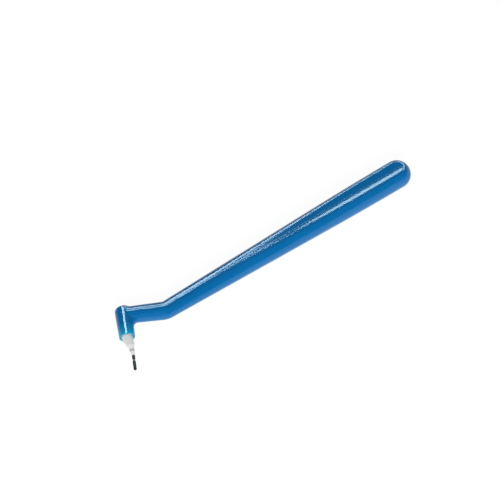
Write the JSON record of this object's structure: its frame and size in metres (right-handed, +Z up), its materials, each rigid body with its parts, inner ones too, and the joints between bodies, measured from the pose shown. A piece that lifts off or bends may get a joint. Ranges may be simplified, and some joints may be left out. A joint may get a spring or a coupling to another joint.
{
  "type": "periodontal probe",
  "caption": "Angled hand probe for gum pockets: tapered glossy handle, sprung click mechanism in the head and a snap-in tip with a banded point.",
  "frame": {"origin": "the middle of the rest flat on the handle's lower side", "axes": "+X along the handle to its domed end, +Z up out of the bend plane with the probe on its side, tip towards -Y"},
  "size_m": [0.1565, 0.0303, 0.0111],
  "materials": {
    "handle_plastic": "glossy moulded blue plastic",
    "rod_steel": "drawn stainless steel",
    "spring_steel": "bright spring steel",
    "seat_brass": "turned brass",
    "bush_plastic": "natural acetal",
    "wiper_silicone": "grey silicone",
    "carrier_plastic": "black acetal",
    "hub_plastic": "milky white moulded plastic",
    "skirt_plastic": "translucent moulded plastic",
    "point_steel": "dark stainless wire",
    "band_plastic": "black sleeve"
  },
  "bodies": {
    "handle": {"handle_shell_upper": "handle_plastic", "handle_shell_lower": "handle_plastic", "stiffening_rod": "rod_steel", "click_disc": "spring_steel", "spring_seat": "seat_brass", "force_spring": "spring_steel", "guide_bush": "bush_plastic", "wiper_ring": "wiper_silicone"},
    "carrier": {"tip_carrier": "carrier_plastic", "guide_pin": "rod_steel"},
    "lock_ring": {"tip_lock_ring": "spring_steel"},
    "tip": {"tip_hub": "hub_plastic", "hub_skirt": "skirt_plastic", "probe_rod": "point_steel", "depth_bands": "band_plastic"}
  },
  "joints": [
    {"name": "tip_press", "type": "slide", "parent": "handle", "child": "carrier", "axis": [0.4695, 0.8829, 0], "range_m": [0, 0.0012], "stiffness_N_per_m": 180, "springref_m": -0.0002, "deforming": ["force_spring", "click_disc"]},
    {"name": "tip_turn", "type": "hinge", "parent": "carrier", "child": "lock_ring", "pos_m": [-0.08913, 0.00822, 0.00511], "axis": [-0.4695, -0.8829, 0], "continuous": true},
    {"name": "tip_removal", "type": "slide", "parent": "lock_ring", "child": "tip", "axis": [-0.4695, -0.8829, 0], "range_m": [0, 0.012], "deforming": ["tip_lock_ring"]}
  ]
}
